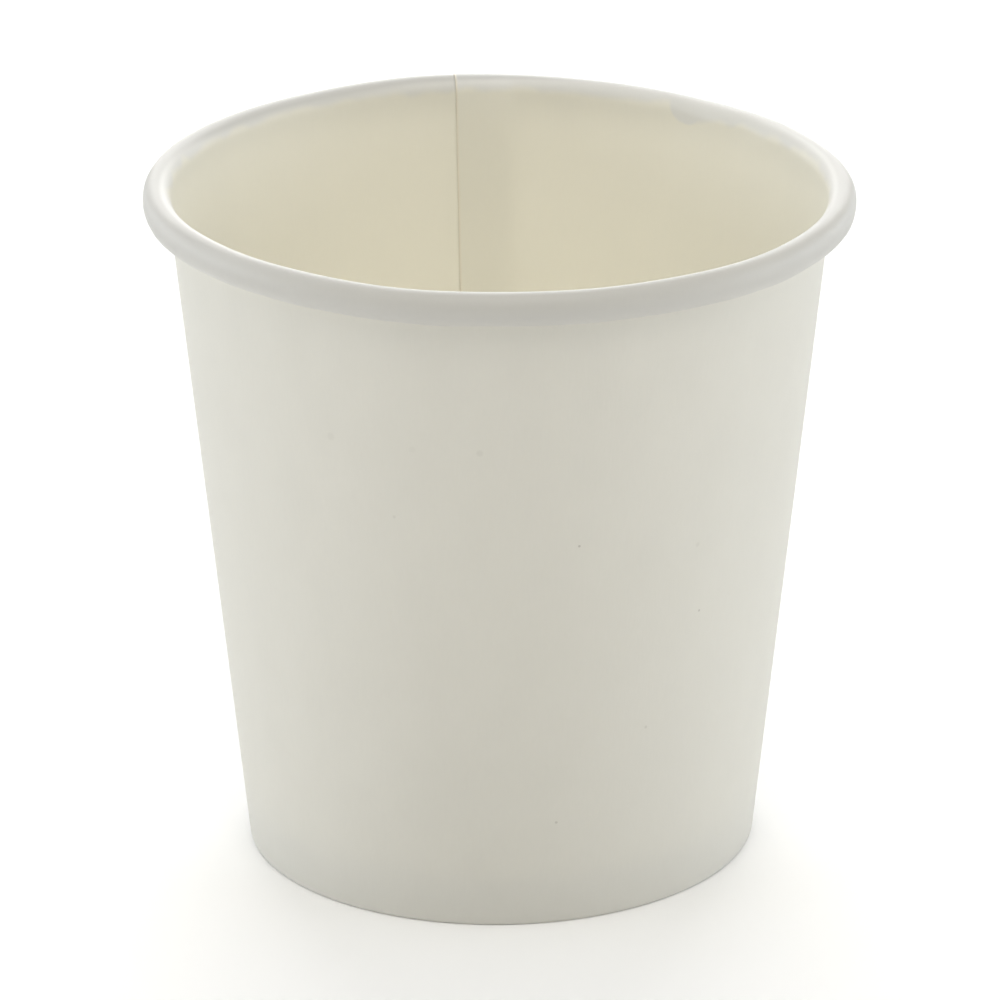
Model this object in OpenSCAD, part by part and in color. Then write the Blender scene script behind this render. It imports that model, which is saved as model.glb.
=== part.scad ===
// Single-wall paper cup with a rolled rim: a lapped board sidewall and a skirted base disc.
// Millimetres, +Z up. The origin is on the cup's axis, on the surface that it stands on.

/* [Cup] */
// Outside diameter over the rolled rim
rim_d = 62; // [57:0.5:74]
// Outside diameter that the sidewall's slope gives at the table
foot_d = 45; // [40:0.5:50]
// Height from the table to the top of the rolled rim
cup_h = 60.5; // [45:0.5:90]

/* [Board] */
// Thickness of the sidewall's board
wall_t = 0.35; // [0.28:0.01:0.42]
// Thickness of the base's board
base_t = 0.3; // [0.24:0.01:0.38]
// Film left between two pieces of board that are sealed together
seal_gap = 0.02; // [0.01:0.01:0.04]

/* [Rolled rim] */
// Outside diameter of the roll's first half turn
roll_d = 2.5; // [2.3:0.05:3.2]
// Straight stretch between one half turn of the roll and the next, which makes it taller than wide
roll_flank = 0.3; // [0.1:0.05:0.6]
// Gap between one turn of the roll and the next
roll_gap = 0.04; // [0.02:0.01:0.08]
// Angle that the roll goes on past its first full turn
roll_tuck = 80; // [30:5:150]

/* [Side seam] */
// Direction of the outer end's cut edge, turned from +X towards +Y
lap_from = 87.6; // [60:0.2:120]
// Angle over which the two ends of the board overlap
lap_angle = 10; // [6:0.5:16]
// Width of the slope where the board climbs onto its own end
lap_ramp = 1.8; // [1.4:0.1:2.6]

/* [Base and foot] */
// Height of the base's upper face above the table
base_h = 5.3; // [5:0.1:8]
// Outside radius of the bend between the base and its skirt
base_bend_r = 0.9; // [0.7:0.05:1.3]
// Height of the hem that is folded up inside the skirt
hem_h = 4; // [3:0.1:4.3]

/* [Hidden] */

// Facets round the cup, and the step between two points of a bend in the board
round_fn = 180;
bend_step = 12;
wall_color = [0.92, 0.92, 0.89];
base_color = [0.87, 0.84, 0.76];

// The roll's half turns lie on an upper and a lower centre by turns, each half smaller than the one before
roll_r = roll_d / 2;
roll_pitch = wall_t + roll_gap;
roll_centre = [rim_d / 2 - roll_r, cup_h - roll_r];

// The wall's slope from upright: its outer face runs from the foot to where the roll begins
foot_point = [foot_d / 2, 0];
foot_to_roll = roll_centre - foot_point;
wall_a = acos((roll_r - wall_t) / norm(foot_to_roll)) - atan2(foot_to_roll.y, foot_to_roll.x);
up_wall = direction(90 - wall_a);
into_cup = direction(180 - wall_a);
wall_len = foot_to_roll * up_wall;

// Depths from the wall's outer face, measured into the cup
skirt_v = wall_t + seal_gap;
hem_v = skirt_v + base_t + seal_gap;

// The board folds round these two corners, under the skirt's lower edge
outer_fold = point_at(wall_t, wall_t);
inner_fold = point_at(wall_t, hem_v);

// The ramp beside the lap runs this far on past each end of itself, into solid board or clear of it
run_on = wall_t;
// It is this much lower than the lap's outer edge, and this deep in the wall below it
nick = wall_t / 40;
ramp_root = 0.8 * wall_t;

// Unit vector at angle a from +X
function direction(a) = [cos(a), sin(a)];

// Point of the section that lies u up the wall's slope and v into the cup
function section_point(u, v) = foot_point + u * up_wall + v * into_cup;

// Distance up the slope at which the line at depth v reaches the height z
function slope_u(z, v) = (z - v * sin(wall_a)) / cos(wall_a);

// Point at the height z on the line at depth v
function point_at(z, v) = section_point(slope_u(z, v), v);

// Points round a circle's arc, without the first, on which the stretch before it ends
function arc(centre, r, from, to) =
    let (steps = ceil(abs(to - from) / bend_step))
    [for (i = [1:steps]) centre + r * direction(from + (to - from) * i / steps)];

// How far a circle of radius r has dropped below its tangent at the distance x
function sagitta(x, r) = r - sqrt(r * r - x * x);

// Centre of one of the roll's half turns, counted from 0
function turn_centre(i) = roll_centre - (i % 2) * (roll_pitch / 2 * into_cup + roll_flank * up_wall);

// Half turn i of the roll, on the board's face that lies depth inside it, over a span of degrees
function turn(i, depth, span = 180) =
    let (start = 180 - wall_a - 180 * i, r = roll_r - i * roll_pitch / 2 - depth)
    concat([turn_centre(i) + r * direction(start)], arc(turn_centre(i), r, start, start - span));

// The same points in the opposite order
function reversed(points) = [for (i = [len(points) - 1:-1:0]) points[i]];

// The board's face that ends up on the outside of the cup, from the hem's edge to the roll's end
function outside_face() = concat(
    [point_at(hem_h, hem_v + wall_t), inner_fold + wall_t * into_cup],
    arc(inner_fold, wall_t, 180 - wall_a, 270),
    [outer_fold - [0, wall_t]],
    arc(outer_fold, wall_t, -90, -wall_a),
    turn(0, wall_t),
    turn(1, wall_t),
    turn(2, wall_t, roll_tuck)
);

// The face that ends up on the inside of the cup, over the same stretch
function inside_face() = concat(
    [point_at(hem_h, hem_v), inner_fold, outer_fold],
    turn(0, 0),
    turn(1, 0),
    turn(2, 0, roll_tuck)
);

module board_section() {
    polygon(concat(outside_face(), reversed(inside_face())));
}

// Second layer of board at the seam, outside the wall and inside the hem, from the middle of the first
module lap_section() {
    shift = [wall_t / cos(wall_a), 0];
    half = wall_t / 2;
    polygon(concat(
        [point_at(hem_h, hem_v + half), point_at(hem_h, hem_v + 2 * wall_t)],
        [inner_fold - shift + wall_t * into_cup],
        arc(inner_fold - shift, wall_t, 180 - wall_a, 270),
        [outer_fold + shift - [0, wall_t]],
        arc(outer_fold + shift, wall_t, -90, -wall_a),
        [section_point(wall_len, -wall_t), section_point(wall_len, half)],
        [point_at(half, half), point_at(half, hem_v + half)]
    ));
}

// Runs a plan outline, [outwards, anticlockwise] from the outer face, up the wall to just under the roll
module up_the_wall(angle) {
    start_u = slope_u(wall_t, wall_t);
    rotate([0, 0, angle])
        translate([foot_d / 2, 0, 0])
            rotate([0, wall_a, 0])
                translate([0, 0, start_u])
                    linear_extrude(wall_len - run_on - start_u) children();
}

// Point x along the ramp, on the slope that comes down by the board's thickness from the given height
function ramp_point(x, from_out) =
    [from_out - (wall_t + sagitta(lap_ramp, foot_d / 2)) * x / lap_ramp, x];

// Slope beside the lap, where the board climbs onto its own end
module ramp_outside() {
    polygon([
        [-ramp_root, -run_on], [wall_t / 2, -run_on], ramp_point(0, wall_t - nick),
        ramp_point(lap_ramp + run_on, wall_t - nick), [-ramp_root, lap_ramp + run_on]
    ]);
}

// Groove that the same slope leaves inside the cup, cut as deep as the skirt's place and short of the hem
module ramp_inside() {
    deepest = -skirt_v - base_t;
    polygon([
        [deepest, 0], ramp_point(0, 0), ramp_point(lap_ramp + run_on, 0), [deepest, lap_ramp + run_on]
    ]);
}

module sidewall() {
    lap_to = lap_from + lap_angle;
    color(wall_color) difference() {
        union() {
            rotate_extrude($fn = round_fn) board_section();
            rotate_extrude(angle = lap_angle, start = lap_from, $fn = round_fn) lap_section();
            up_the_wall(lap_to) ramp_outside();
        }
        up_the_wall(lap_to) ramp_inside();
    }
}

// Disc, bend and skirt of the base, from its upper face round to the under side
module base_section() {
    bend_v = skirt_v + base_bend_r;
    bend_centre = point_at(base_h - base_bend_r, bend_v);
    skirt_z = wall_t + seal_gap;
    polygon(concat(
        [[0, base_h], [bend_centre.x, base_h]],
        arc(bend_centre, base_bend_r, 90, -wall_a),
        [point_at(skirt_z, skirt_v), point_at(skirt_z, skirt_v + base_t)],
        reversed(arc(bend_centre, base_bend_r - base_t, 90, -wall_a)),
        [[bend_centre.x, base_h - base_t], [0, base_h - base_t]]
    ));
}

module base() {
    color(base_color) rotate_extrude($fn = round_fn) base_section();
}

sidewall();
base();
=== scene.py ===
"""A single-wall paper cup with a rolled rim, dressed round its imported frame.

Two pieces of board make the cup. The sidewall is one sheet that is wrapped round, lapped at a seam,
rolled outwards at the rim and folded up inside the foot. The base is a disc with a bent-down skirt that
the fold holds.
"""

import logging
import math
from dataclasses import dataclass, field
from enum import Enum

import bpy
import numpy as np
from mathutils import Matrix, Vector


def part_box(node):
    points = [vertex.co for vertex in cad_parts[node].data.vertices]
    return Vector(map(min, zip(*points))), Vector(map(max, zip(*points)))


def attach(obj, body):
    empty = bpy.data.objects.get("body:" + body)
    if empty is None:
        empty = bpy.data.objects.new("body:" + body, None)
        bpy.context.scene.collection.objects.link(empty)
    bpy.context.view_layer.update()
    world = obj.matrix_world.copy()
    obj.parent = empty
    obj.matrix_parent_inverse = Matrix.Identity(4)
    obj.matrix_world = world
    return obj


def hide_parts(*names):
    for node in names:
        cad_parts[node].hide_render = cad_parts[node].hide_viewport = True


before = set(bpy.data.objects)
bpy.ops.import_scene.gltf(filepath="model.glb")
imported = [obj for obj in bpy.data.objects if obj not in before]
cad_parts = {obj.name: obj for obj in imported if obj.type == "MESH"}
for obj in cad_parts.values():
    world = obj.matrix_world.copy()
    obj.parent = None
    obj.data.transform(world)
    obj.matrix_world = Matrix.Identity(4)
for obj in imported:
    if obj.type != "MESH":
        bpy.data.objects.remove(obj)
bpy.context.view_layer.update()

MM = 0.001
# Share of the light on a face of the board that goes into the sheet
BOARD_THROUGH = 0.20
# The same share on the coated face where two sheets are sealed together
SEALED_THROUGH = 0.13
# Colour of the light that comes through
THROUGH_COLOUR = (0.97, 0.94, 0.86)
# Type of a colour, as shares of red, green and blue
Colour = tuple[float, float, float]
# Type of what a node takes as a colour
Paint = Colour | bpy.types.NodeSocket
# Type of a point, or of a size along each axis
Triple = tuple[float, float, float]
# Type of a bell curve round the cup: its place and width in degrees, and its size in millimetres
Bell = tuple[float, float, float]
# Type of a sine wave round the cup: how many times it goes round, its size in millimetres and its phase
Wave = tuple[int, float, float]
log = logging.getLogger("paper_cup")


def direction(angle: np.ndarray | float) -> np.ndarray:
    """Unit vectors of the section, in a last axis of (radius, height), at angles in radians."""
    return np.stack([np.cos(angle), np.sin(angle)], axis=-1)


def smooth_step(value: np.ndarray, start: float, end: float) -> np.ndarray:
    """Goes from 0 at start to 1 at end along 3t squared less 2t cubed, and stays flat outside them.

    Args:
        value: Where the step is wanted.
        start: Value at which it begins to rise.
        end: Value at which it is complete. It may be lower than start.

    Returns:
        The step, of value's shape.
    """
    t = np.clip((value - start) / (end - start), 0.0, 1.0)
    return t * t * (3 - 2 * t)


def line(start: np.ndarray, end: np.ndarray, steps: int) -> np.ndarray:
    """Points along straight lines, without their ends.

    Args:
        start: First points, columns by 2.
        end: Last points, columns by 2.
        steps: How many points each line gets.

    Returns:
        Points, columns by steps by 2: start plus the line's vector times the share of the way.
    """
    share = np.linspace(0.0, 1.0, steps, endpoint=False)[None, :, None]
    return start[:, None, :] + (end - start)[:, None, :] * share


def arc(centre: np.ndarray, radius: np.ndarray | float, start: float, end: float, steps: int) -> np.ndarray:
    """Points along circles' arcs, without their ends.

    Args:
        centre: The circles' centres, columns by 2.
        radius: Their radius, one or a column of them.
        start: Angle of the first point, in radians.
        end: Angle that the arc stops short of.
        steps: How many points each arc gets.

    Returns:
        Points, columns by steps by 2: centre plus radius times the unit vector of the angle.
    """
    turned = direction(np.linspace(start, end, steps, endpoint=False))[None]
    return centre[:, None, :] + np.reshape(radius, (-1, 1, 1)) * turned


@dataclass
class CupForm:
    """The cup's own form, which both pieces of board follow. Sizes are in millimetres.

    The section's plane is (radius, height). In it the wall leans outwards by lean, up_wall runs up its
    slope and into_cup is square to it. A depth is measured from the wall's outer face into the cup.
    Each oval is the size of the cosine and of the sine of twice the angle, by which the cup is out of round.
    """

    rim_radius: float
    height: float
    foot_radius: float = 22.5
    wall: float = 0.35
    base: float = 0.3
    film: float = 0.02
    roll_radius: float = 1.25
    roll_flank: float = 0.55
    base_height: float = 5.3
    hem_height: float = 4.0
    fold_radius: float = 0.05
    lap_start: float = math.radians(87.6)
    lap_angle: float = math.radians(10.0)
    rim_oval: tuple[float, float] = (-0.12, -0.42)
    foot_oval: tuple[float, float] = (0.0, 0.17)
    most_oval: float = 1.1

    def __post_init__(self) -> None:
        """Works out the wall's slope, which just meets the roll as a tangent."""
        self.roll_centre = np.array([self.rim_radius - self.roll_radius, self.height - self.roll_radius])
        self.foot = np.array([self.foot_radius, 0.0])
        to_roll = self.roll_centre - self.foot
        reach = float(np.hypot(*to_roll))
        self.lean = math.acos((self.roll_radius - self.wall) / reach) - math.atan2(to_roll[1], to_roll[0])
        self.up_wall = direction(math.pi / 2 - self.lean)
        self.into_cup = direction(math.pi - self.lean)

    @property
    def skirt_depth(self) -> float:
        """Depth of the outer face of the base's skirt."""
        return self.wall + self.film

    @property
    def hem_depth(self) -> float:
        """Depth of the hem's face that lies on the skirt."""
        return self.skirt_depth + self.base + self.film

    def point_at(self, height: np.ndarray | float, depth: np.ndarray | float) -> np.ndarray:
        """Points on the lines that run parallel to the wall.

        Args:
            height: Height above the table.
            depth: Depth from the wall's outer face.

        Returns:
            Points, in a last axis of 2: the foot plus the depth into the cup plus the way up to that height.
        """
        height, depth = np.broadcast_arrays(np.asarray(height, float), np.asarray(depth, float))
        up = (height - depth * math.sin(self.lean)) / math.cos(self.lean)
        return self.foot + up[..., None] * self.up_wall + depth[..., None] * self.into_cup

    def on_wall(self, turned: float, height: float, depth: float) -> Triple:
        """A point on the wall.

        Args:
            turned: Its direction from the axis, in degrees from +X towards +Y.
            height: Its height above the table.
            depth: Its depth from the wall's outer face.

        Returns:
            The point in metres.
        """
        section = self.point_at(height, depth)[None, None, :]
        x, y, z = self.place(section, np.array([math.radians(turned)]))[0, 0].tolist()
        return x, y, z

    def place(self, section: np.ndarray, angle: np.ndarray) -> np.ndarray:
        """Turns section points round the axis, and squeezes the round a little out of true.

        The radius grows by a cosine and a sine of twice the angle. Their sizes go evenly from the foot's to
        the rim's with the height, and a little past the rim's above it. They fade to nothing at the axis.

        Args:
            section: Points, columns by rows by 2, in millimetres.
            angle: The columns' angles in radians.

        Returns:
            Points in metres, columns by rows by 3.
        """
        radius, height = section[..., 0], section[..., 1]
        share = np.clip(height / self.roll_centre[1], 0.0, self.most_oval)
        across, skew = (
            foot + (rim - foot) * share for foot, rim in zip(self.foot_oval, self.rim_oval)
        )
        twice = 2 * angle[:, None]
        out_of_true = across * np.cos(twice) + skew * np.sin(twice)
        radius = radius + out_of_true * np.clip(radius / self.foot_radius, 0.0, 1.0)
        turned = angle[:, None]
        return np.stack([radius * np.cos(turned), radius * np.sin(turned), height], axis=-1) * MM


class Face(Enum):
    """What a face of a piece of board is, which is also the place of its material on the mesh."""

    OUTSIDE = 0
    COATED = 1
    CUT = 2


@dataclass
class Mesh:
    """Points and faces of one piece, on their way into Blender."""

    points: np.ndarray
    quads: np.ndarray
    kinds: np.ndarray
    fans: list[tuple[int, int, int]] = field(default_factory=list)
    fan_kinds: list[int] = field(default_factory=list)

    def to_object(
        self, name: str, masks: dict[str, np.ndarray], materials: list[bpy.types.Material]
    ) -> bpy.types.Object:
        """Makes the Blender object.

        Args:
            name: The piece's name.
            masks: Named values of the points, from 0 to 1, that the materials read.
            materials: One material for each member of Face.

        Returns:
            The object, shaded smooth, with the edges between two kinds of face kept sharp.
        """
        mesh = bpy.data.meshes.new(name)
        faces = self.quads.tolist() + self.fans
        mesh.from_pydata(self.points.reshape(-1, 3), [], faces)
        kinds = np.concatenate([self.kinds, np.array(self.fan_kinds, dtype=self.kinds.dtype)])
        for material in materials:
            mesh.materials.append(material)
        mesh.polygons.foreach_set("material_index", kinds.astype(np.int32))
        mesh.polygons.foreach_set("use_smooth", np.ones(len(faces), dtype=bool))
        for label, values in masks.items():
            layer = mesh.attributes.new(label, "FLOAT", "POINT")
            layer.data.foreach_set("value", values.astype(np.float32).ravel())
        self._keep_cut_edges_sharp(mesh, kinds)
        mesh.validate()
        piece = bpy.data.objects.new(name, mesh)
        bpy.context.scene.collection.objects.link(piece)
        return piece

    @staticmethod
    def _keep_cut_edges_sharp(mesh: bpy.types.Mesh, kinds: np.ndarray) -> None:
        """Marks an edge sharp where its faces are of two kinds.

        Args:
            mesh: The mesh, whose edges are marked.
            kinds: The kind of each face.
        """
        totals = np.zeros(len(mesh.polygons), dtype=np.int32)
        mesh.polygons.foreach_get("loop_total", totals)
        edges = np.zeros(len(mesh.loops), dtype=np.int32)
        mesh.loops.foreach_get("edge_index", edges)
        kind_of_corner = np.repeat(kinds, totals)
        lowest = np.full(len(mesh.edges), len(Face), dtype=kinds.dtype)
        highest = np.full(len(mesh.edges), -1, dtype=kinds.dtype)
        np.minimum.at(lowest, edges, kind_of_corner)
        np.maximum.at(highest, edges, kind_of_corner)
        mesh.edges.foreach_set("use_edge_sharp", lowest != highest)


@dataclass
class Sidewall:
    """The sheet of board that makes the wall, the rolled rim and the hem inside the foot.

    Round the cup the sheet runs from its outer end, at the lap's start, through a whole turn and on under
    itself to its inner end, a lap further. Along its section it runs from the hem's edge to the roll's.
    Swells and up_waves lift the rim, out_waves move it outwards, and pleats and fat_waves make it fatter.
    """

    form: CupForm
    roll_gap: float = 0.04
    roll_span: float = math.radians(440.0)
    lap_outer_span: float = math.radians(290.0)
    lap_inner_span: float = math.radians(400.0)
    climb_angle: float = math.radians(8.0)
    nip_angle: float = math.radians(0.02)
    slope_angle: float = math.radians(3.0)
    brink_angle: float = math.radians(0.5)
    press: float = 0.93
    out_waves: tuple[Wave, ...] = ((3, 0.05, 0.6), (7, 0.03, 2.1), (13, 0.02, 0.0))
    up_waves: tuple[Wave, ...] = ((5, 0.03, 1.3), (11, 0.02, 0.2))
    fat_waves: tuple[Wave, ...] = ((17, 0.015, 0.4), (29, 0.012, 1.9))
    pleats: tuple[Bell, ...] = (
        (17.0, 3.0, 0.12),
        (26.0, 2.6, -0.16),
        (33.0, 2.6, 0.20),
        (40.0, 2.4, -0.20),
        (47.0, 2.6, 0.20),
        (55.0, 3.0, -0.14),
        (64.0, 4.0, 0.09),
        (158.0, 4.0, 0.10),
        (166.0, 3.5, -0.08),
        (205.0, 5.0, 0.06),
        (262.0, 4.0, 0.05),
    )
    swells: tuple[Bell, ...] = (
        (47.0, 12.0, -0.07),
        (99.0, 22.0, 0.34),
        (144.0, 12.0, -0.10),
    )
    column_step: float = math.radians(1.0)
    fine_step: float = math.radians(0.5)
    hem_rows: int = 3
    fold_rows: int = 6
    sole_rows: int = 2
    wall_rows: int = 22
    roll_rows: int = 50

    def columns(self) -> np.ndarray:
        """Angles of the sheet's columns in radians, with finer steps at both of its ends."""
        form = self.form
        start, turn = form.lap_start, 2 * math.pi
        end = start + turn + form.lap_angle
        cut = start + form.lap_angle
        nip = cut + self.nip_angle * np.array([0.0, 0.5, 1.0])
        first = np.linspace(start, cut, round(form.lap_angle / self.fine_step), endpoint=False)
        plain_from, plain_to = cut + self.climb_angle, start + turn - self.climb_angle
        climb = np.linspace(cut, plain_from, round(self.climb_angle / self.fine_step), endpoint=False)[1:]
        plain = np.linspace(plain_from, plain_to, round((plain_to - plain_from) / self.column_step))
        brink = end - self.brink_angle * np.array([1.0, 0.5, 0.0])
        steps = round((brink[0] - plain_to) / self.fine_step)
        last = np.linspace(plain_to, brink[0], steps, endpoint=False)[1:]
        return np.concatenate([first, nip, climb, plain, last, brink])

    def layer(self, angle: np.ndarray, through: float) -> dict[str, np.ndarray]:
        """How the sheet lies at each column: outside itself, alone, or under itself.

        Past the inner end's cut edge the outer layer dips by the pressed share of a thickness, at once on
        its coated face and over the slope's angle on its outer one. It then comes in along a smooth step
        over the climb's angle.

        Args:
            angle: The columns' angles.
            through: How far the face lies through the board from its coated side.

        Returns:
            Columns of values: the outward offset, the sole's lift, and the roll's pitch and span.
        """
        form = self.form
        cut = form.lap_start + form.lap_angle
        turn = form.lap_start + 2 * math.pi
        step = form.wall + form.film
        dip = self.nip_angle + (self.slope_angle - self.nip_angle) * through / form.wall
        over = 1 - smooth_step(angle, cut, cut + dip)
        climb = 1 - smooth_step(angle, cut, cut + self.climb_angle)
        under = smooth_step(angle, turn - self.climb_angle / 2, turn)
        crowded = np.maximum(climb, under)
        spans = self.roll_span - climb * (self.roll_span - self.lap_outer_span)
        spans = spans - under * (self.roll_span - self.lap_inner_span)
        return {
            "offset": step * (over + (1 - over) * (1 - self.press) * climb),
            "lift": step * under,
            "pitch": form.wall + self.roll_gap + step * crowded,
            "span": spans,
        }

    def unevenness(self, angle: np.ndarray) -> dict[str, np.ndarray]:
        """Small faults of the rim: slow waves, swells, and short pleats where the board was crowded.

        Waves are sums of sines of whole multiples of the angle. Swells and pleats are bell curves round
        their places.

        Args:
            angle: The columns' angles.

        Returns:
            Columns of millimetres: how far the rim stands out and up, and how much fatter the roll is.
        """
        return {
            "out": self.waves(angle, self.out_waves),
            "up": self.waves(angle, self.up_waves) + self.bells(angle, self.swells),
            "fat": self.waves(angle, self.fat_waves) + self.bells(angle, self.pleats),
        }

    @staticmethod
    def waves(angle: np.ndarray, parts: tuple[Wave, ...]) -> np.ndarray:
        """Sum of sine waves round the cup: each is its size times the sine of its count times the angle.

        Args:
            angle: The columns' angles in radians.
            parts: The count, size and phase of each wave, the phase being added to the angle in the sine.

        Returns:
            The sum at each column.
        """
        count, size, phase = np.array(parts).T[:, :, None]
        return (size * np.sin(count * angle + phase)).sum(axis=0)

    @staticmethod
    def bells(angle: np.ndarray, places: tuple[Bell, ...]) -> np.ndarray:
        """Sum of bell curves round the cup: each is its size times e to minus the squared share of its width.

        Args:
            angle: The columns' angles in radians.
            places: The place and width of each bell in degrees, and its size.

        Returns:
            The sum at each column.
        """
        place, width, size = np.array(places).T[:, :, None]
        away = (np.degrees(angle) - place + 180.0) % 360.0 - 180.0
        return (size * np.exp(-((away / width) ** 2))).sum(axis=0)

    def face(self, angle: np.ndarray, through: float) -> np.ndarray:
        """One face of the sheet, from the hem's edge to the roll's.

        The hem and the wall are straight, and the folds are arcs round their corners. The roll is a spiral
        round its centre: its radius stays over each upper half turn and loses a pitch over the lower one, by
        half of 1 less a cosine, and its lower side hangs down by the flank, by half of 1 less a sine.

        Args:
            angle: The columns' angles.
            through: How far the face lies through the board from its coated side.

        Returns:
            Section points, columns by rows by 2.
        """
        form, lies, uneven = self.form, self.layer(angle, through), self.unevenness(angle)
        lift, offset = lies["lift"], lies["offset"]
        inner_radius = form.fold_radius
        fold_height = form.wall + inner_radius + lift
        hem_depth = form.hem_depth + offset
        hem_edge = form.point_at(form.hem_height, hem_depth + through)
        inner_fold = form.point_at(fold_height, hem_depth - inner_radius)
        outer_fold = form.point_at(fold_height, form.wall - offset + inner_radius)
        bend = inner_radius + through
        hem_foot = inner_fold + bend * form.into_cup
        below = np.array([0.0, -bend])
        wall_foot = outer_fold - bend * form.into_cup

        roll_radius = (form.roll_radius + 0.5 * uneven["fat"] - offset - through)[:, None]
        centre = form.roll_centre + np.stack([uneven["out"], uneven["up"] - 0.5 * uneven["fat"]], axis=-1)
        turned = lies["span"][:, None] * np.linspace(0.0, 1.0, self.roll_rows)[None, :]
        lower = (1 - np.cos(np.clip(turned, math.pi, 2 * math.pi) - math.pi)) / 2
        flank = (form.roll_flank + (lies["pitch"] - lies["pitch"].min()) / 2)[:, None]
        hang = flank * (1 - np.sin(turned)) / 2
        radius = roll_radius - lies["pitch"][:, None] * lower
        roll = centre[:, None, :] + radius[..., None] * direction(math.pi - form.lean - turned)
        roll = roll - hang[..., None] * form.up_wall

        right_angle = math.pi / 2
        rows = [
            line(hem_edge, hem_foot, self.hem_rows),
            arc(inner_fold, bend, math.pi - form.lean, 3 * right_angle, self.fold_rows),
            line(inner_fold + below, outer_fold + below, self.sole_rows),
            arc(outer_fold, bend, -right_angle, -form.lean, self.fold_rows),
            line(wall_foot, roll[:, 0, :], self.wall_rows),
            roll,
        ]
        return np.concatenate(rows, axis=1)

    def build(self, materials: list[bpy.types.Material]) -> bpy.types.Object:
        """Makes the piece: both faces, the cut edges between them and the sheet's two ends.

        Args:
            materials: One material for each member of Face.

        Returns:
            The sidewall's object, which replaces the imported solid.
        """
        angle = self.columns()
        coated = self.face(angle, 0.0)
        outside = self.face(angle, self.form.wall)
        section = np.concatenate([outside, coated[:, ::-1]], axis=1)
        columns, rows = section.shape[:2]
        side_rows = rows // 2
        points = self.form.place(section, angle)

        index = np.arange(columns * rows).reshape(columns, rows)
        following = np.roll(index, -1, axis=1)
        quads = np.stack([index[:-1], index[1:], following[1:], following[:-1]], axis=-1)
        row_kinds = np.full(rows, Face.OUTSIDE.value)
        row_kinds[side_rows:] = Face.COATED.value
        row_kinds[[side_rows - 1, rows - 1]] = Face.CUT.value
        kinds = np.broadcast_to(row_kinds, (columns - 1, rows))

        across = np.arange(side_rows - 1)
        back = rows - 1 - across
        first = np.stack([across, across + 1, back - 1, back], axis=-1)
        last = first[:, ::-1] + (columns - 1) * rows
        quads = np.concatenate([quads.reshape(-1, 4), first, last])
        kinds = np.concatenate([kinds.ravel(), np.full(2 * len(across), Face.CUT.value)])

        row = np.arange(rows)
        inner_end = angle[-1]
        brink = smooth_step(angle, inner_end - self.brink_angle, inner_end)[:, None]
        under = (angle >= inner_end - self.form.lap_angle)[:, None]
        everywhere = np.ones((columns, rows))
        masks = {
            "brink": brink * everywhere,
            "sealed": under * (row >= side_rows) * everywhere,
            "hem": (row <= self.hem_rows) * everywhere,
        }
        piece = Mesh(points, quads, kinds).to_object("cup_sidewall", masks, materials)
        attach(piece, "root")
        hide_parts("sidewall")
        return piece


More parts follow.
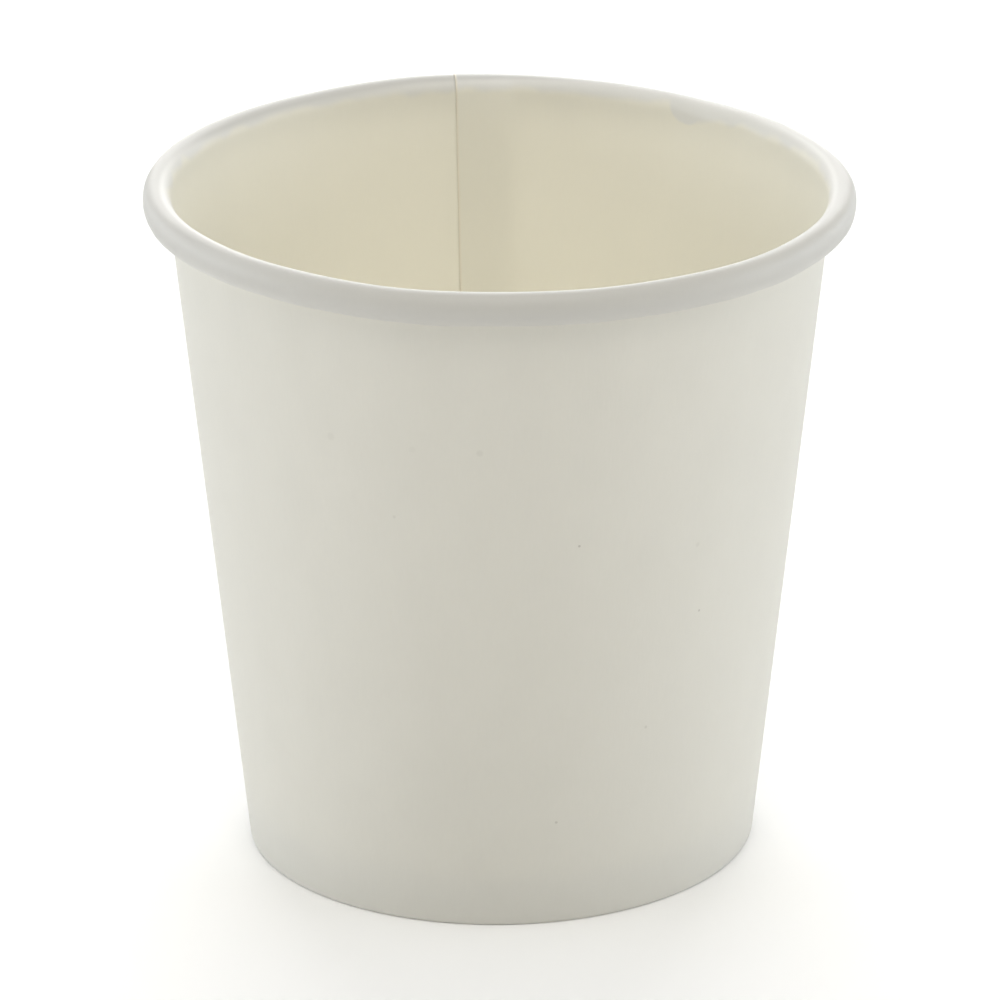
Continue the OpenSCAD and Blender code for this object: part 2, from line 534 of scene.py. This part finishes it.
@dataclass
class Base:
    """The disc of board that closes the cup, with its skirt held between the wall and the hem."""

    form: CupForm
    bend_radius: float = 0.9
    skirt_foot: float = 0.4
    dish: float = 0.15
    pucker: float = 0.03
    puckers: int = 96
    step_margin: float = 0.07
    columns: int = 720
    disc_rows: int = 14
    bend_rows: int = 10
    skirt_rows: int = 5

    def face(self, angle: np.ndarray, through: float) -> np.ndarray:
        """One face of the disc and skirt, from near the axis to the skirt's lower edge.

        The disc sags at its middle by the dish, which fades with the square of the radius. The bend is an
        arc, whose under side is puckered by a cosine of many times the angle. At the lap the skirt ends
        higher by a board and its film, and comes down again past a margin in radians on either side.

        Args:
            angle: The columns' angles.
            through: How far the face lies through the board from its upper side.

        Returns:
            Section points, columns by rows by 2.
        """
        form = self.form
        bend_depth = form.skirt_depth + self.bend_radius
        centre = form.point_at(form.base_height - self.bend_radius, bend_depth)
        radius = self.bend_radius - through
        count = len(angle)
        reach = np.linspace(0.0, 1.0, self.disc_rows + 1)[1:-1]
        sag = self.dish * (1 - reach**2)
        disc = np.stack([reach * centre[0], form.base_height - through - sag], axis=-1)
        centres = np.broadcast_to(centre, (count, 2))
        bend = arc(centres, radius, math.pi / 2, -form.lean, self.bend_rows)
        crimp = self.pucker * (through / form.base) * np.cos(self.puckers * angle)
        outward = direction(np.linspace(math.pi / 2, -form.lean, self.bend_rows, endpoint=False))
        fade = np.sin(np.linspace(0.0, math.pi, self.bend_rows))
        bend = bend - (crimp[:, None] * fade)[..., None] * outward
        turned = np.angle(np.exp(1j * (angle - form.lap_start - form.lap_angle / 2)))
        raised = 1 - smooth_step(np.abs(turned), form.lap_angle / 2 + self.step_margin, form.lap_angle)
        low = self.skirt_foot + (form.wall + form.film) * raised
        top = centre + radius * direction(-form.lean)
        skirt_end = form.point_at(low, form.skirt_depth + through)
        skirt = line(np.broadcast_to(top, (count, 2)), skirt_end, self.skirt_rows)
        disc = np.broadcast_to(disc, (count, *disc.shape))
        return np.concatenate([disc, bend, skirt, skirt_end[:, None, :]], axis=1)

    def build(self, materials: list[bpy.types.Material]) -> bpy.types.Object:
        """Makes the piece: both faces, the skirt's cut edge and the discs' middles.

        Args:
            materials: One material for each member of Face.

        Returns:
            The base's object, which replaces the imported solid.
        """
        form = self.form
        angle = np.linspace(0.0, 2 * math.pi, self.columns, endpoint=False)
        upper, under = self.face(angle, 0.0), self.face(angle, form.base)
        section = np.concatenate([upper, under[:, ::-1]], axis=1)
        rows = section.shape[1]
        half = rows // 2
        ring = form.place(section, angle)
        top = form.base_height - self.dish
        poles = np.array([[0.0, 0.0, top], [0.0, 0.0, top - form.base]]) * MM
        points = np.concatenate([ring.reshape(-1, 3), poles])

        index = np.arange(self.columns * rows).reshape(self.columns, rows)
        beside = np.roll(index, -1, axis=0)
        quads = np.stack([index[:, :-1], index[:, 1:], beside[:, 1:], beside[:, :-1]], axis=-1)
        row_kinds = np.full(rows - 1, Face.COATED.value)
        row_kinds[half:] = Face.OUTSIDE.value
        row_kinds[half - 1] = Face.CUT.value
        kinds = np.broadcast_to(row_kinds, (self.columns, rows - 1)).ravel()
        upper_pole, under_pole = self.columns * rows, self.columns * rows + 1
        fans = [(upper_pole, a, b) for a, b in zip(index[:, 0].tolist(), beside[:, 0].tolist())]
        fans += [(under_pole, b, a) for a, b in zip(index[:, -1].tolist(), beside[:, -1].tolist())]
        fan_kinds = [Face.COATED.value] * self.columns + [Face.OUTSIDE.value] * self.columns
        mesh = Mesh(points, quads.reshape(-1, 4), kinds, fans, fan_kinds)
        nothing = np.zeros(len(points))
        masks = dict.fromkeys(("brink", "sealed", "hem"), nothing)
        piece = mesh.to_object("cup_base", masks, materials)
        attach(piece, "root")
        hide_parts("base")
        return piece


class Value:
    """A number that varies over a surface. Its operators add Math nodes."""

    def __init__(self, graph: "Graph", socket: bpy.types.NodeSocket) -> None:
        """Keeps the graph and the socket that carries the number."""
        self.graph = graph
        self.socket = socket

    def math(self, operation: str, *operands: "Value | float") -> "Value":
        """Adds one Math node.

        Args:
            operation: The node's operation.
            operands: Its inputs in order.

        Returns:
            The node's result.
        """
        node = self.graph.node("ShaderNodeMath", {"operation": operation}, dict(enumerate(operands)))
        return Value(self.graph, node.outputs[0])

    def sine(self) -> "Value":
        """Sine of an angle in radians."""
        return self.math("SINE", self)

    def __add__(self, other: "Value | float") -> "Value":
        """Sum."""
        return self.math("ADD", self, other)

    __radd__ = __add__

    def __sub__(self, other: "Value | float") -> "Value":
        """Difference."""
        return self.math("SUBTRACT", self, other)

    def __rsub__(self, other: float) -> "Value":
        """Difference from a number."""
        return self.math("SUBTRACT", other, self)

    def __mul__(self, other: "Value | float") -> "Value":
        """Product."""
        return self.math("MULTIPLY", self, other)

    __rmul__ = __mul__

    def step(self, start: float, end: float) -> "Value":
        """Smooth step from 0 at start to 1 at end.

        Args:
            start: Value at which it begins to rise.
            end: Value at which it is complete, higher than start.

        Returns:
            The step.
        """
        ends = {"From Min": start, "From Max": end, "Value": self}
        node = self.graph.node("ShaderNodeMapRange", {"interpolation_type": "SMOOTHSTEP"}, ends)
        return Value(self.graph, node.outputs["Result"])


class Graph:
    """The node tree of one material, which is a Principled shader."""

    def __init__(self, name: str) -> None:
        """Makes the material and keeps its shader and its Object coordinates."""
        self.material = bpy.data.materials.new(name)
        self.material.use_nodes = True
        self.tree = self.material.node_tree
        self.shader = self.tree.nodes["Principled BSDF"]
        self.place = self.node("ShaderNodeTexCoord").outputs["Object"]

    def node(self, kind: str, settings: dict | None = None, inputs: dict | None = None) -> bpy.types.Node:
        """Adds a node.

        Args:
            kind: Its type.
            settings: Its own properties, which are set first.
            inputs: Values or links of its sockets, by name or by number.

        Returns:
            The node.
        """
        node = self.tree.nodes.new(kind)
        for label, value in (settings or {}).items():
            setattr(node, label, value)
        for label, value in (inputs or {}).items():
            socket = node.inputs[label]
            value = value.socket if isinstance(value, Value) else value
            if isinstance(value, bpy.types.NodeSocket):
                self.tree.links.new(value, socket)
            else:
                socket.default_value = value
        return node

    def attribute(self, name: str) -> Value:
        """A named value of the mesh's points."""
        return Value(self, self.node("ShaderNodeAttribute", {"attribute_name": name}).outputs["Fac"])

    def noise(self, grain: Triple, detail: float = 2.0, roughness: float = 0.5) -> Value:
        """Noise whose grain has a given size.

        Args:
            grain: Size of one grain along X, Y and Z in millimetres.
            detail: Number of finer octaves.
            roughness: Share that each octave keeps.

        Returns:
            Noise from 0 to 1, mostly near 0.5.
        """
        scale = tuple(1 / (size * MM) for size in grain)
        mapped = self.node("ShaderNodeMapping", None, {"Vector": self.place, "Scale": scale})
        inputs = {"Vector": mapped.outputs[0], "Scale": 1.0, "Detail": detail, "Roughness": roughness}
        return Value(self, self.node("ShaderNodeTexNoise", None, inputs).outputs["Fac"])

    def height(self) -> Value:
        """Height above the table in millimetres."""
        split = self.node("ShaderNodeSeparateXYZ", None, {0: self.place})
        return Value(self, split.outputs["Z"]) * (1 / MM)

    def distance(self) -> Value:
        """Distance from the cup's axis in millimetres: the length of the place with its height left out."""
        flat = self.node("ShaderNodeMapping", None, {"Vector": self.place, "Scale": (1.0, 1.0, 0.0)})
        length = self.node("ShaderNodeVectorMath", {"operation": "LENGTH"}, {0: flat.outputs[0]})
        return Value(self, length.outputs["Value"]) * (1 / MM)

    def turned(self) -> Value:
        """Angle round the cup's axis in radians, from +X towards +Y."""
        split = self.node("ShaderNodeSeparateXYZ", None, {0: self.place})
        along, across = (Value(self, split.outputs[axis]) for axis in "XY")
        return along.math("ARCTAN2", across, along)

    def near(self, spot: Triple, size: float, core: float = 0.35) -> Value:
        """How near a point lies to a spot: 1 on it, 0 from a given distance on.

        Args:
            spot: The spot's place in metres.
            size: The distance in millimetres.
            core: Share of that distance within which the nearness is 1.

        Returns:
            The nearness, by a smooth step.
        """
        away = self.node("ShaderNodeVectorMath", {"operation": "DISTANCE"}, {0: self.place, 1: spot})
        return 1 - Value(self, away.outputs["Value"]).step(core * size * MM, size * MM)

    def blend(
        self, share: Value | float, first: Paint, second: Paint, kind: str = "MIX"
    ) -> bpy.types.NodeSocket:
        """Mixes two colours.

        Args:
            share: Share of the second colour.
            first: A colour or a colour's socket.
            second: Another.
            kind: The Mix node's blend type.

        Returns:
            The mixed colour's socket.
        """
        settings = {"data_type": "RGBA", "blend_type": kind, "clamp_factor": True}
        pair = [(*paint, 1.0) if isinstance(paint, tuple) else paint for paint in (first, second)]
        node = self.node("ShaderNodeMix", settings, {0: share, 6: pair[0], 7: pair[1]})
        return node.outputs[2]

    def shaded(self, colour: Paint, factor: Value) -> bpy.types.NodeSocket:
        """Darkens or lightens a colour.

        Args:
            colour: A colour or a colour's socket.
            factor: What each of its channels is multiplied by.

        Returns:
            The shaded colour's socket.
        """
        grey = self.node("ShaderNodeCombineColor", None, {channel: factor for channel in range(3)})
        return self.blend(1.0, colour, grey.outputs[0], "MULTIPLY")

    def finish(self, colour: Paint, roughness: float, relief: Value, depth: float) -> None:
        """Links the looks to the shader, and lets light through the board.

        Args:
            colour: Base colour.
            roughness: Roughness.
            relief: Height of the surface's relief, from 0 to 1.
            depth: What a relief of 1 stands for, in millimetres.
        """
        bump = self.node("ShaderNodeBump", None, {"Distance": depth * MM, "Height": relief, "Strength": 1.0})
        self.tree.links.new(colour, self.shader.inputs["Base Color"])
        self.tree.links.new(bump.outputs["Normal"], self.shader.inputs["Normal"])
        self.shader.inputs["Roughness"].default_value = roughness
        passing = self.node("ShaderNodeBsdfTranslucent", None, {"Color": (*THROUGH_COLOUR, 1.0)})
        share = BOARD_THROUGH + self.attribute("sealed") * (SEALED_THROUGH - BOARD_THROUGH)
        pair = {0: share, 1: self.shader.outputs[0], 2: passing.outputs[0]}
        mixed = self.node("ShaderNodeMixShader", None, pair)
        self.tree.links.new(mixed.outputs[0], self.tree.nodes["Material Output"].inputs["Surface"])


@dataclass(frozen=True)
class PlainBoard:
    """The board's uncoated outer face: white, matt, with faint upright fibres and a few specks.

    A speck is its direction in degrees, its height and size in millimetres, and its strength. The knurl's
    depth is a multiple of the fibres' own.
    """

    name: str = "plain_board"
    colour: Colour = (0.79, 0.78, 0.725)
    roughness: float = 0.62
    fibre_grain: Triple = (0.22, 0.22, 1.8)
    fibre_tone: float = 0.035
    fibre_depth: float = 0.012
    cloud_grain: Triple = (4.0, 4.0, 6.0)
    cloud_tone: float = 0.04
    knurl_ribs: int = 132
    knurl_depth: float = 3.0
    speck_colour: Colour = (0.40, 0.38, 0.34)
    specks: tuple[tuple[float, float, float, float], ...] = (
        (238.5, 45.5, 0.50, 0.10),
        (254.5, 45.5, 0.40, 0.08),
        (266.5, 45.5, 0.40, 0.16),
        (250.5, 39.0, 0.22, 0.20),
        (284.5, 36.5, 0.16, 0.70),
        (309.5, 34.5, 0.30, 0.15),
        (311.5, 28.0, 0.16, 0.60),
        (300.5, 18.0, 0.20, 0.30),
        (281.5, 10.0, 0.17, 0.50),
    )

    def build(self, form: CupForm) -> bpy.types.Material:
        """Makes the material.

        Args:
            form: The cup's form, on whose wall the specks lie.

        Returns:
            The material.
        """
        graph = Graph(self.name)
        fibres = graph.noise(self.fibre_grain, detail=2.0, roughness=0.6)
        cloud = graph.noise(self.cloud_grain, detail=1.0)
        tone = 1 + (fibres - 0.5) * self.fibre_tone + (cloud - 0.5) * self.cloud_tone
        colour = graph.shaded(self.colour, tone)
        for turned, up, size, strength in self.specks:
            spot = graph.near(form.on_wall(turned, up, 0.0), size)
            colour = graph.blend(spot * strength, colour, self.speck_colour)
        ribs = (graph.turned() * self.knurl_ribs).sine()
        relief = fibres + graph.attribute("hem") * ribs * self.knurl_depth
        graph.finish(colour, self.roughness, relief, self.fibre_depth)
        return graph.material


@dataclass(frozen=True)
class CoatedBoard:
    """The board's film-coated face: cream inside the cup, and less cream over the lip, the crest and the rim,
    which carry painted light and shade.

    The inside's cream is the film's own tone, made brighter as painted light for the light that comes
    through the wall. The lip is the roll's inner side, painted whiter as painted light; it starts at a height
    that ripples round the cup. The crest and the rim are painted shade, darker and greyer. They start at
    distances from the roll's centre, counted outwards, and each comes in over a short stretch. A drop is a
    place where the lip's painted light starts lower: its direction in degrees, its height and size, and the
    drop.
    """

    name: str = "coated_board_painted_light"
    # Painted shade: the roll's outer side, darker and greyer
    rim_painted_shade_colour: Colour = (0.69, 0.68, 0.645)
    # Painted shade: the roll's crest, darker than the lip
    crest_painted_shade_colour: Colour = (0.72, 0.715, 0.69)
    # Painted light: the whiter lip on the roll's inner side
    lip_painted_light_colour: Colour = (0.90, 0.895, 0.865)
    # The film's own cream, made brighter as painted light for light that comes through the wall
    inside_cream_and_painted_light_colour: Colour = (0.995, 0.97, 0.865)
    brink_colour: Colour = (0.97, 0.92, 0.79)
    # Where the lip's painted light starts, how soft its edge is and how far that edge ripples
    lip_light_height: float = 59.7
    lip_light_blur: float = 0.4
    lip_light_ripple: float = 1.6
    # Where the painted shade of the crest and of the rim comes in, in millimetres from the roll's centre
    crest_shade_from: tuple[float, float] = (-0.75, -0.25)
    rim_shade_from: tuple[float, float] = (0.1, 0.8)
    # Places where the lip's painted light starts lower
    lip_light_drops: tuple[tuple[float, float, float, float], ...] = (
        (54.0, 59.3, 1.9, 1.3),
        (50.0, 59.5, 2.4, 0.9),
        (44.0, 59.6, 2.2, 0.5),
    )
    roughness: float = 0.46
    fibre_grain: Triple = (0.3, 0.3, 2.0)
    fibre_tone: float = 0.03
    fibre_depth: float = 0.008
    cloud_grain: Triple = (5.0, 5.0, 7.0)
    cloud_tone: float = 0.04
    ripple_grain: Triple = (3.6, 3.6, 30.0)

    def build(self, form: CupForm) -> bpy.types.Material:
        """Makes the material.

        Args:
            form: The cup's form.

        Returns:
            The material.
        """
        graph = Graph(self.name)
        fibres = graph.noise(self.fibre_grain, detail=2.0, roughness=0.6)
        cloud = graph.noise(self.cloud_grain, detail=1.0)
        ripple = graph.noise(self.ripple_grain, detail=1.0)
        wavy = graph.height() + (ripple - 0.5) * self.lip_light_ripple
        for turned, up, size, drop in self.lip_light_drops:
            wavy = wavy + graph.near(form.on_wall(turned, up, form.wall), size) * drop
        # Mask of the lip's painted light
        lip = wavy.step(self.lip_light_height - self.lip_light_blur, self.lip_light_height + self.lip_light_blur)
        out = graph.distance() - form.roll_centre[0]
        # Painted light: the lip is whiter than the inside, whose cream also holds painted light
        colour = graph.blend(lip, self.inside_cream_and_painted_light_colour, self.lip_painted_light_colour)
        # Painted shade: the crest is darker than the lip
        colour = graph.blend(out.step(*self.crest_shade_from), colour, self.crest_painted_shade_colour)
        # Painted shade: the roll's outer side is darker still
        colour = graph.blend(out.step(*self.rim_shade_from), colour, self.rim_painted_shade_colour)
        colour = graph.blend(graph.attribute("brink"), colour, self.brink_colour)
        tone = 1 + (fibres - 0.5) * self.fibre_tone + (cloud - 0.5) * self.cloud_tone
        colour = graph.shaded(colour, tone)
        graph.finish(colour, self.roughness, fibres, self.fibre_depth)
        return graph.material


@dataclass(frozen=True)
class CutBoard:
    """The board's cut edges: raw tan fibre between the two faces."""

    name: str = "cut_board"
    colour: Colour = (0.86, 0.77, 0.60)
    dark: Colour = (0.74, 0.63, 0.46)
    roughness: float = 0.85
    fibre_grain: Triple = (0.08, 0.08, 0.3)
    fibre_depth: float = 0.02
    dark_from: tuple[float, float] = (0.4, 0.75)

    def build(self) -> bpy.types.Material:
        """Makes the material."""
        graph = Graph(self.name)
        fibres = graph.noise(self.fibre_grain, detail=3.0, roughness=0.6)
        colour = graph.blend(fibres.step(*self.dark_from), self.colour, self.dark)
        graph.finish(colour, self.roughness, fibres, self.fibre_depth)
        return graph.material


@dataclass
class Studio:
    """A pale floor, soft lights and the camera of the photograph. Sizes are in metres."""

    floor_size: float = 12.0
    floor_colour: float = 0.95
    floor_glow: float = 0.06
    room_glow: float = 0.18
    camera_distance: float = 0.55968
    aim_height: float = 0.030
    elevation: float = math.radians(21.046)
    tilt: float = -0.0014
    roll: float = -0.0048
    lens: float = 228.53
    sensor: float = 36.0
    light_aim: float = 0.04
    floor_roughness: float = 0.9

    def floor(self) -> bpy.types.Object:
        """Makes the floor, which glows a little so that it reads as white paper."""
        half = self.floor_size / 2
        corners = [(-half, -half, 0.0), (half, -half, 0.0), (half, half, 0.0), (-half, half, 0.0)]
        mesh = bpy.data.meshes.new("studio_floor")
        mesh.from_pydata(corners, [], [(0, 1, 2, 3)])
        graph = Graph("studio_white")
        graph.shader.inputs["Base Color"].default_value = (*[self.floor_colour] * 3, 1.0)
        graph.shader.inputs["Roughness"].default_value = self.floor_roughness
        graph.shader.inputs["Emission Color"].default_value = (1.0, 1.0, 1.0, 1.0)
        graph.shader.inputs["Emission Strength"].default_value = self.floor_glow
        mesh.materials.append(graph.material)
        floor = bpy.data.objects.new("studio_floor", mesh)
        bpy.context.scene.collection.objects.link(floor)
        return floor

    def light(
        self, name: str, place: Triple, size: tuple[float, float], power: float, colour: Colour
    ) -> bpy.types.Object:
        """Adds a soft light that faces the cup.

        Args:
            name: The light's name.
            place: Where it stands.
            size: Its width and height.
            power: Its power in watts.
            colour: Its colour.

        Returns:
            The light.
        """
        data = bpy.data.lights.new(name, "AREA")
        data.shape = "RECTANGLE"
        data.size, data.size_y = size
        data.energy = power
        data.color = colour
        lamp = bpy.data.objects.new(name, data)
        bpy.context.scene.collection.objects.link(lamp)
        lamp.location = place
        lamp.rotation_mode = "QUATERNION"
        lamp.rotation_quaternion = (Vector(place) - Vector((0, 0, self.light_aim))).to_track_quat("Z", "Y")
        lamp.visible_camera = False
        return lamp

    def lights(self) -> None:
        """Lights the cup from both sides, above, behind and high in front, in a dim white room."""
        world = bpy.data.worlds.new("studio_room")
        world.use_nodes = True
        room = world.node_tree.nodes["Background"].inputs
        room["Color"].default_value = (1.0, 1.0, 1.0, 1.0)
        room["Strength"].default_value = self.room_glow
        bpy.context.scene.world = world
        white, cool, warm = (1.0, 1.0, 1.0), (0.95, 1.0, 1.06), (1.0, 0.96, 0.86)
        self.light("soft_left", (-1.2, -0.1, 0.55), (1.1, 1.1), 2.3, cool)
        self.light("soft_right", (1.2, -0.1, 0.55), (1.1, 1.1), 2.3, cool)
        self.light("low_left", (-1.15, 0.35, 0.2), (1.8, 0.4), 5.8, cool)
        self.light("low_right", (1.15, 0.35, 0.2), (1.8, 0.4), 5.8, cool)
        self.light("soft_back", (0.0, 1.3, 0.6), (1.2, 1.2), 14.2, white)
        self.light("soft_top", (0.0, 0.25, 1.3), (1.2, 1.2), 4.2, white)
        self.light("soft_high", (0.0, -0.65, 1.15), (1.0, 1.0), 7.1, warm)
        bpy.context.scene.view_settings.view_transform = "Standard"

    def camera(self) -> bpy.types.Object:
        """Places the camera where the photograph was taken from.

        It stands in front, at the elevation and distance from the aim point. Its own axes are then turned by
        the tilt and the roll, and read as the rows of right, down and forward.
        """
        forward = Vector((0.0, math.cos(self.elevation), -math.sin(self.elevation)))
        upward = Vector((0.0, math.sin(self.elevation), math.cos(self.elevation)))
        level = Matrix((Vector((1.0, 0.0, 0.0)), -upward, forward))
        turned = Matrix.Rotation(self.roll, 3, "Z") @ Matrix.Rotation(self.tilt, 3, "X") @ level
        axes = Matrix((turned[0], -turned[1], -turned[2])).transposed()
        data = bpy.data.cameras.new("photo_camera")
        data.lens = self.lens
        data.sensor_width = self.sensor
        camera = bpy.data.objects.new("photo_camera", data)
        bpy.context.scene.collection.objects.link(camera)
        camera.matrix_world = Matrix.Translation(
            Vector((0.0, 0.0, self.aim_height)) - self.camera_distance * forward
        ) @ axes.to_4x4()
        bpy.context.scene.camera = camera
        return camera


def main() -> None:
    """Builds the studio and the cup's two pieces of board."""
    logging.basicConfig(level=logging.INFO, format="%(name)s: %(message)s")
    _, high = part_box("sidewall")
    form = CupForm(rim_radius=high.x / MM, height=high.z / MM)
    studio = Studio()
    studio.camera()
    studio.floor()
    studio.lights()
    materials = [PlainBoard().build(form), CoatedBoard().build(form), CutBoard().build()]
    for part in (Sidewall(form), Base(form)):
        piece = part.build(materials)
        log.info("%s: %d points, %d faces", piece.name, len(piece.data.vertices), len(piece.data.polygons))


if __name__ == "__main__":
    main()
